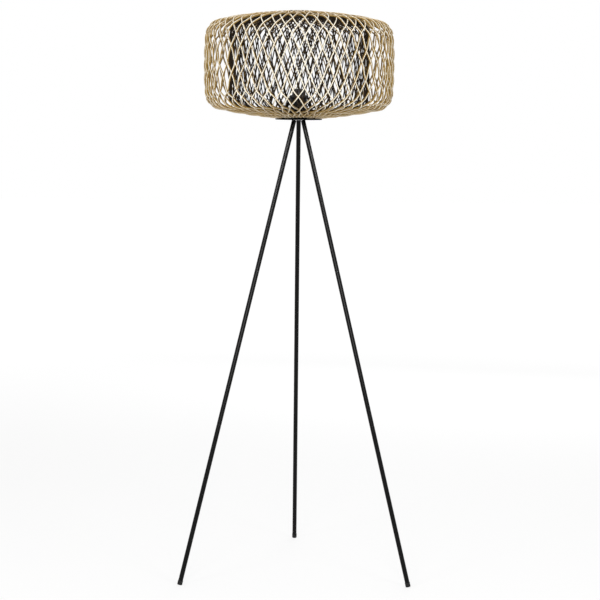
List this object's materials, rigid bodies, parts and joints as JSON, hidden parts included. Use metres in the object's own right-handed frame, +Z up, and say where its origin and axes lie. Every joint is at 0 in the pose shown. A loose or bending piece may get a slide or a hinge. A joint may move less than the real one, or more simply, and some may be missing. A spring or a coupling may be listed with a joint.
{
  "type": "rattan floor lamp",
  "caption": "Floor lamp with a drum shade woven of split cane in two layers, natural outside and black inside, on a slender black steel tripod.",
  "frame": {"origin": "on the floor, at the middle of the rectangle that the whole lamp covers; the lamp's own axis stands 48.07 mm in front of it, at y = -0.04807", "axes": "+Z up along the lamp's axis, +Y towards the rear leg, +X to the right of someone who faces the lamp along +Y"},
  "size_m": [0.6008, 0.5956, 1.48],
  "materials": {
    "black_steel": "satin black powder coat",
    "bare_steel": "zinc plated",
    "black_rubber": "matt moulded",
    "black_plastic": "matt moulded",
    "pale_ceramic": "thin glaze",
    "lamp_brass": "drawn",
    "natural_cane": "split cane, clear sealed, satin",
    "black_cane": "split cane, stained black, satin"
  },
  "bodies": {
    "stand": {"leg_upper_tube_left": "black_steel", "leg_middle_tube_left": "black_steel", "leg_lower_tube_left": "black_steel", "hub_stud_left": "bare_steel", "leg_top_insert_left": "bare_steel", "leg_middle_insert_left": "bare_steel", "leg_lower_insert_left": "bare_steel", "leg_middle_stud_left": "bare_steel", "leg_lower_stud_left": "bare_steel", "foot_cap_left": "black_rubber", "leg_upper_tube_right": "black_steel", "leg_middle_tube_right": "black_steel", "leg_lower_tube_right": "black_steel", "hub_stud_right": "bare_steel", "leg_top_insert_right": "bare_steel", "leg_middle_insert_right": "bare_steel", "leg_lower_insert_right": "bare_steel", "leg_middle_stud_right": "bare_steel", "leg_lower_stud_right": "bare_steel", "foot_cap_right": "black_rubber", "leg_upper_tube_rear": "black_steel", "leg_middle_tube_rear": "black_steel", "leg_lower_tube_rear": "black_steel", "hub_stud_rear": "bare_steel", "leg_top_insert_rear": "bare_steel", "leg_middle_insert_rear": "bare_steel", "leg_lower_insert_rear": "bare_steel", "leg_middle_stud_rear": "bare_steel", "leg_lower_stud_rear": "bare_steel", "foot_cap_rear": "black_rubber", "hub_plate": "black_steel", "holder_cup": "black_steel", "holder_nipple": "bare_steel", "nipple_washer": "bare_steel", "nipple_nut": "bare_steel", "cord_bush": "black_plastic", "holder_cap": "black_plastic", "holder_barrel": "black_plastic", "holder_core": "pale_ceramic", "lamp_shell": "lamp_brass", "centre_contact": "lamp_brass"},
    "shade": {"shade_carrier": "black_steel", "shade_top_ring": "black_steel", "outer_weave": "natural_cane", "inner_weave": "black_cane"},
    "retaining_ring": {"retaining_ring": "black_plastic"}
  },
  "joints": [
    {"name": "shade_lift", "type": "slide", "parent": "stand", "child": "shade", "axis": [0, 0, 1], "range_m": [0, 0.1]},
    {"name": "retaining_ring_turn", "type": "hinge", "parent": "shade", "child": "retaining_ring", "pos_m": [0, -0.04807, 1.2601], "axis": [0, 0, 1], "range_deg": [0, 1080]}
  ]
}
